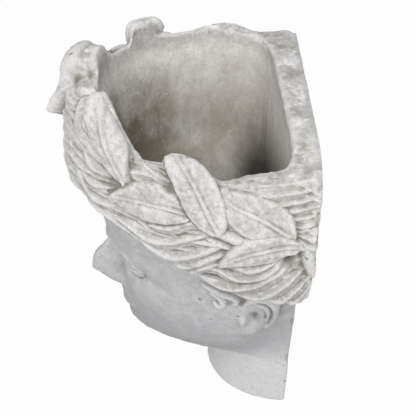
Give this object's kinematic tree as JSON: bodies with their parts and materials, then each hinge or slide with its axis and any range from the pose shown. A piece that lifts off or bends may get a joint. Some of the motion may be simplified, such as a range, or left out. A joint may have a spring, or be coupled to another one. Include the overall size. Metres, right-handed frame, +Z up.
{
  "type": "wall head planter",
  "caption": "Cast concrete wall planter shaped as the front half of a laurel-wreathed classical head, open at the top, flat at the back with a keyhole hanger and a drain plug under the neck.",
  "frame": {"origin": "centre of the keyhole's round hole, on the flat back of the casting", "axes": "+Z up, the face looks along -Y, +Y points at the wall, +X is the head's left"},
  "size_m": [0.182, 0.152, 0.2573],
  "materials": {
    "concrete": "matt, whitewashed cement",
    "galvanised_steel": "galvanised",
    "screw_steel": "zinc plated",
    "nylon": "matt",
    "plug_rubber": "matt",
    "felt": "felt"
  },
  "bodies": {
    "planter": {"planter_casting": "concrete", "hanger_plate": "galvanised_steel", "hanger_screw_left": "screw_steel", "hanger_screw_right": "screw_steel", "screw_anchor_left": "nylon", "screw_anchor_right": "nylon", "wall_pad_upper_left": "felt", "wall_pad_upper_right": "felt", "wall_pad_lower_left": "felt", "wall_pad_lower_right": "felt"},
    "plug": {"drain_plug": "plug_rubber"}
  },
  "joints": [
    {"name": "plug_pull", "type": "slide", "parent": "planter", "child": "plug", "axis": [0, 0, -1], "range_m": [0, 0.034]}
  ]
}
